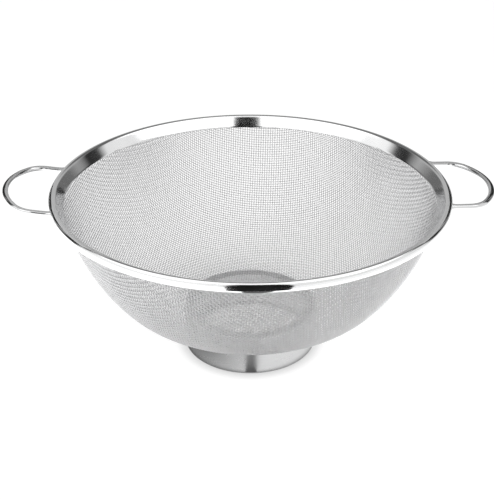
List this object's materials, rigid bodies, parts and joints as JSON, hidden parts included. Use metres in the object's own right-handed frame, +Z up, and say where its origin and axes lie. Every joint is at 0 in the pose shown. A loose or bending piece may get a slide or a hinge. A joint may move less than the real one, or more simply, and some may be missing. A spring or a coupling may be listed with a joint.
{
  "type": "footed mesh strainer",
  "caption": "Round footed strainer bowl of woven wire cloth with a rolled rim and a wire loop handle on each side.",
  "frame": {"origin": "centre of the foot ring's resting plane", "axes": "+Z up along the bowl's axis, +X through the right handle, -Y towards the front"},
  "size_m": [0.3252, 0.265, 0.1243],
  "materials": {
    "wire_cloth": "bright drawn stainless wire, plain weave",
    "polished_rim": "mirror polished stainless sheet",
    "hoop_wire": "plain drawn steel wire, hidden in the rim",
    "handle_wire": "polished stainless wire",
    "foot_sheet": "satin stainless sheet"
  },
  "bodies": {
    "root": {"mesh_bowl": "wire_cloth", "rim_band": "polished_rim", "rim_hoop": "hoop_wire", "handle_left": "handle_wire", "handle_right": "handle_wire", "foot_ring": "foot_sheet"}
  },
  "joints": []
}
